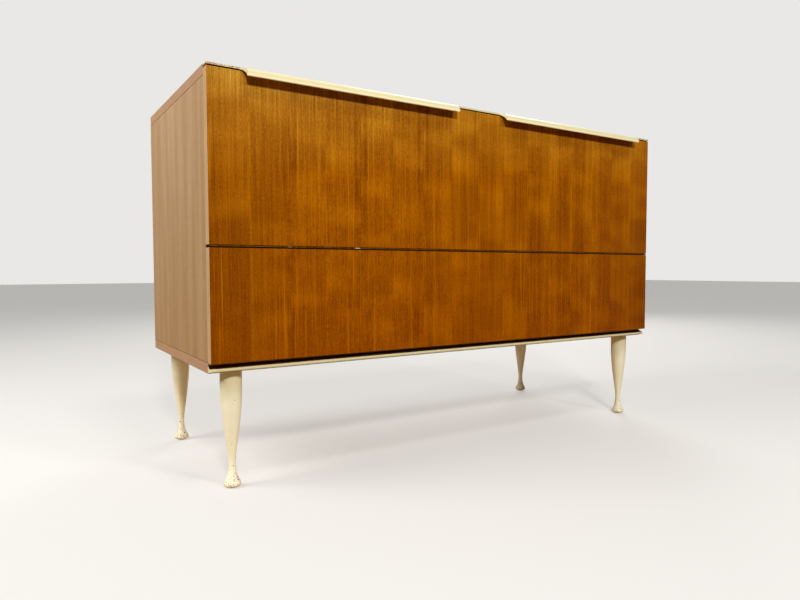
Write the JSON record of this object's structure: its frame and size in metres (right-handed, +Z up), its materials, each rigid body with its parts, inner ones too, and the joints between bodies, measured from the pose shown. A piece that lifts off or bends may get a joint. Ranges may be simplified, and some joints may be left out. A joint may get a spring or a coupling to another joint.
{
  "type": "linen chest",
  "caption": "Low veneered linen chest on turned cream legs, with a fixed lower front panel and a drop-front flap above it that has hooded grips along its top edge.",
  "frame": {"origin": "on the floor, under the middle of the overall box", "axes": "+Z up, +X along the chest's length to the right as seen from the front, -Y out of the front"},
  "size_m": [1.2, 0.4882, 0.76],
  "materials": {
    "front_veneer": "satin varnish over book-matched veneer",
    "side_veneer": "matt varnish over vertical-grained veneer",
    "cream_lacquer": "cream gloss lacquer on turned and shaped wood, a little worn",
    "hardboard": "raw hardboard",
    "beech": "raw planed beech",
    "brassed_steel": "dulled brassed steel",
    "steel": "zinc-plated steel",
    "plastic": "moulded white plastic",
    "magnet": "sintered ferrite"
  },
  "bodies": {
    "cabinet": {"back_panel": "hardboard", "bottom_board": "side_veneer", "bottom_moulding": "cream_lacquer", "catch_housing_left": "plastic", "catch_housing_right": "plastic", "catch_magnet_left": "magnet", "catch_magnet_right": "magnet", "catch_screw_left_a": "steel", "catch_screw_left_b": "steel", "catch_screw_right_a": "steel", "catch_screw_right_b": "steel", "foot_glide_back_left": "plastic", "foot_glide_back_right": "plastic", "foot_glide_front_left": "plastic", "foot_glide_front_right": "plastic", "front_panel_screw_1": "steel", "front_panel_screw_2": "steel", "front_panel_screw_3": "steel", "front_panel_screw_4": "steel", "hinge_leaf_lower": "brassed_steel", "hinge_pin": "steel", "hinge_rail": "beech", "leg_back_left": "cream_lacquer", "leg_back_right": "cream_lacquer", "leg_bolt_back_left": "steel", "leg_bolt_back_right": "steel", "leg_bolt_front_left": "steel", "leg_bolt_front_right": "steel", "leg_front_left": "cream_lacquer", "leg_front_right": "cream_lacquer", "leg_nut_back_left": "steel", "leg_nut_back_right": "steel", "leg_nut_front_left": "steel", "leg_nut_front_right": "steel", "lower_cleat": "beech", "lower_front_panel": "front_veneer", "side_panel_left": "side_veneer", "side_panel_right": "side_veneer", "stay_guide_left": "steel", "stay_guide_right": "steel", "stay_guide_screw_left_lower": "steel", "stay_guide_screw_left_upper": "steel", "stay_guide_screw_right_lower": "steel", "stay_guide_screw_right_upper": "steel", "top_board": "side_veneer"},
    "flap": {"flap_handle_strip": "cream_lacquer", "flap_panel": "front_veneer", "hinge_leaf_flap": "brassed_steel", "quadrant_stay_left": "steel", "quadrant_stay_right": "steel", "stay_screw_left_lower": "steel", "stay_screw_left_upper": "steel", "stay_screw_right_lower": "steel", "stay_screw_right_upper": "steel", "strike_plate_left": "steel", "strike_plate_right": "steel", "strike_screw_left": "steel", "strike_screw_right": "steel"}
  },
  "joints": [
    {"name": "flap_hinge", "type": "hinge", "parent": "cabinet", "child": "flap", "pos_m": [0, -0.22095, 0.445], "axis": [1, 0, 0], "range_deg": [0, 90]}
  ]
}
